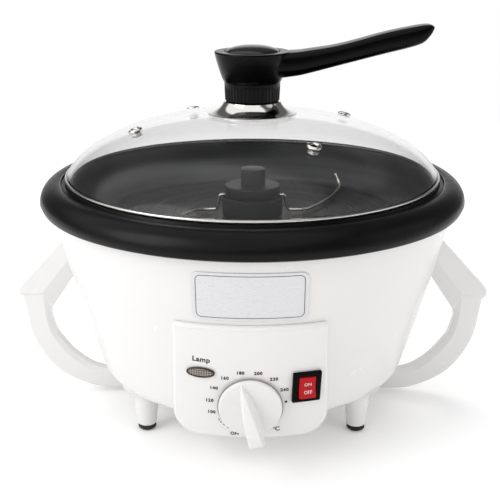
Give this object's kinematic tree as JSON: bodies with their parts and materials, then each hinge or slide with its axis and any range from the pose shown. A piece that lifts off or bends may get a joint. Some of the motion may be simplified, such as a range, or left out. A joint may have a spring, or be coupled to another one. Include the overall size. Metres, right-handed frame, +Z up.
{
  "type": "coffee bean roaster",
  "caption": "Countertop coffee bean roaster: white bowl housing on feet, black rim, domed glass lid with a lever handle, pan with a turning wire stirrer, and a curved control panel.",
  "frame": {"origin": "on the table, under the axis of the pan", "axes": "+X to the right handle, -Y to the control panel, +Z up along the stirrer's shaft"},
  "size_m": [0.334, 0.29, 0.266],
  "materials": {
    "white_plastic": "glossy warm white moulded plastic",
    "black_plastic": "satin black plastic",
    "screw_steel": "plain bright steel",
    "pad_rubber": "black rubber",
    "silver_film": "silvery film with a thin blue-grey border",
    "non_stick": "dark non-stick coating",
    "sheet_steel": "zinc-plated sheet",
    "nylon": "natural nylon",
    "copper": "copper",
    "brass": "turned brass",
    "hub_grey": "dark grey satin plastic",
    "bright_wire": "polished stainless wire",
    "switch_black": "black switch plastic",
    "rocker_red": "translucent red plastic",
    "lamp_smoke": "ribbed smoke-coloured lens",
    "lamp_glass": "clear glass",
    "lid_glass": "clear toughened glass",
    "lid_steel": "bright steel trim",
    "skirt_chrome": "mirror chrome",
    "handle_black": "black heat-proof plastic with a soft shine",
    "cap_grey": "glossy dark grey cap"
  },
  "bodies": {
    "housing": {"outer_shell": "white_plastic", "rim": "black_plastic", "left_handle": "white_plastic", "right_handle": "white_plastic", "handle_screw_1": "screw_steel", "handle_screw_2": "screw_steel", "handle_screw_3": "screw_steel", "handle_screw_4": "screw_steel", "base_cover": "white_plastic", "cover_screw_1": "screw_steel", "cover_screw_2": "screw_steel", "cover_screw_3": "screw_steel", "foot_pad_1": "pad_rubber", "foot_pad_2": "pad_rubber", "foot_pad_3": "pad_rubber", "foot_pad_4": "pad_rubber", "front_plate": "silver_film", "roasting_pan": "non_stick", "heat_shield": "sheet_steel", "heating_element": "screw_steel", "heater_clamp_1": "sheet_steel", "heater_clamp_2": "sheet_steel", "overheat_fuse": "nylon", "sensor_bulb": "copper", "shaft_bush": "brass", "motor_case": "sheet_steel", "stator_coil": "copper", "motor_bracket": "sheet_steel", "bracket_screw_1": "screw_steel", "bracket_screw_2": "screw_steel", "fascia": "white_plastic", "fascia_screw_1": "screw_steel", "fascia_screw_2": "screw_steel", "thermostat": "sheet_steel", "capillary_tube": "copper", "switch_housing": "switch_black", "lamp_lens": "lamp_smoke", "glow_lamp": "lamp_glass", "inlet_gland": "black_plastic"},
    "drive": {"drive_shaft": "screw_steel", "drive_gear": "nylon"},
    "stirrer": {"stirrer_hub": "hub_grey", "stirrer_wire_right": "bright_wire", "stirrer_wire_left": "bright_wire"},
    "rotor": {"motor_rotor": "screw_steel", "rotor_pinion": "nylon"},
    "knob": {"temperature_knob": "white_plastic", "thermostat_spindle": "screw_steel"},
    "rocker": {"switch_rocker": "rocker_red"},
    "lid": {"lid_glass": "lid_glass", "lid_ring": "lid_steel", "vent_eyelet_1": "lid_steel", "vent_eyelet_2": "lid_steel", "vent_eyelet_3": "lid_steel", "vent_eyelet_4": "lid_steel", "lid_skirt": "skirt_chrome", "lid_gasket": "pad_rubber", "lid_screw": "screw_steel", "lid_handle": "handle_black", "handle_cap": "cap_grey"}
  },
  "joints": [
    {"name": "lid_lift", "type": "slide", "parent": "housing", "child": "lid", "axis": [0, 0, 1], "range_m": [0, 0.12]},
    {"name": "stirrer_spin", "type": "hinge", "parent": "housing", "child": "drive", "pos_m": [0, 0, 0.1], "axis": [0, 0, 1], "continuous": true},
    {"name": "stirrer_lift", "type": "slide", "parent": "drive", "child": "stirrer", "axis": [0, 0, 1], "range_m": [0, 0.025]},
    {"name": "rotor_spin", "type": "hinge", "parent": "housing", "child": "rotor", "pos_m": [-0.022, 0, 0.08], "axis": [0, 0, 1], "continuous": true},
    {"name": "knob_turn", "type": "hinge", "parent": "housing", "child": "knob", "pos_m": [0, -0.12234, 0.048], "axis": [0, -0.9903, -0.1392], "range_deg": [-102, 150]},
    {"name": "switch_tilt", "type": "hinge", "parent": "housing", "child": "rocker", "pos_m": [0.03433, -0.12049, 0.06033], "axis": [0.9617, 0.274, 0], "range_deg": [0, 18]}
  ],
  "couplings": [
    {"joint": "rotor_spin", "follows": "stirrer_spin", "ratio": -3}
  ]
}
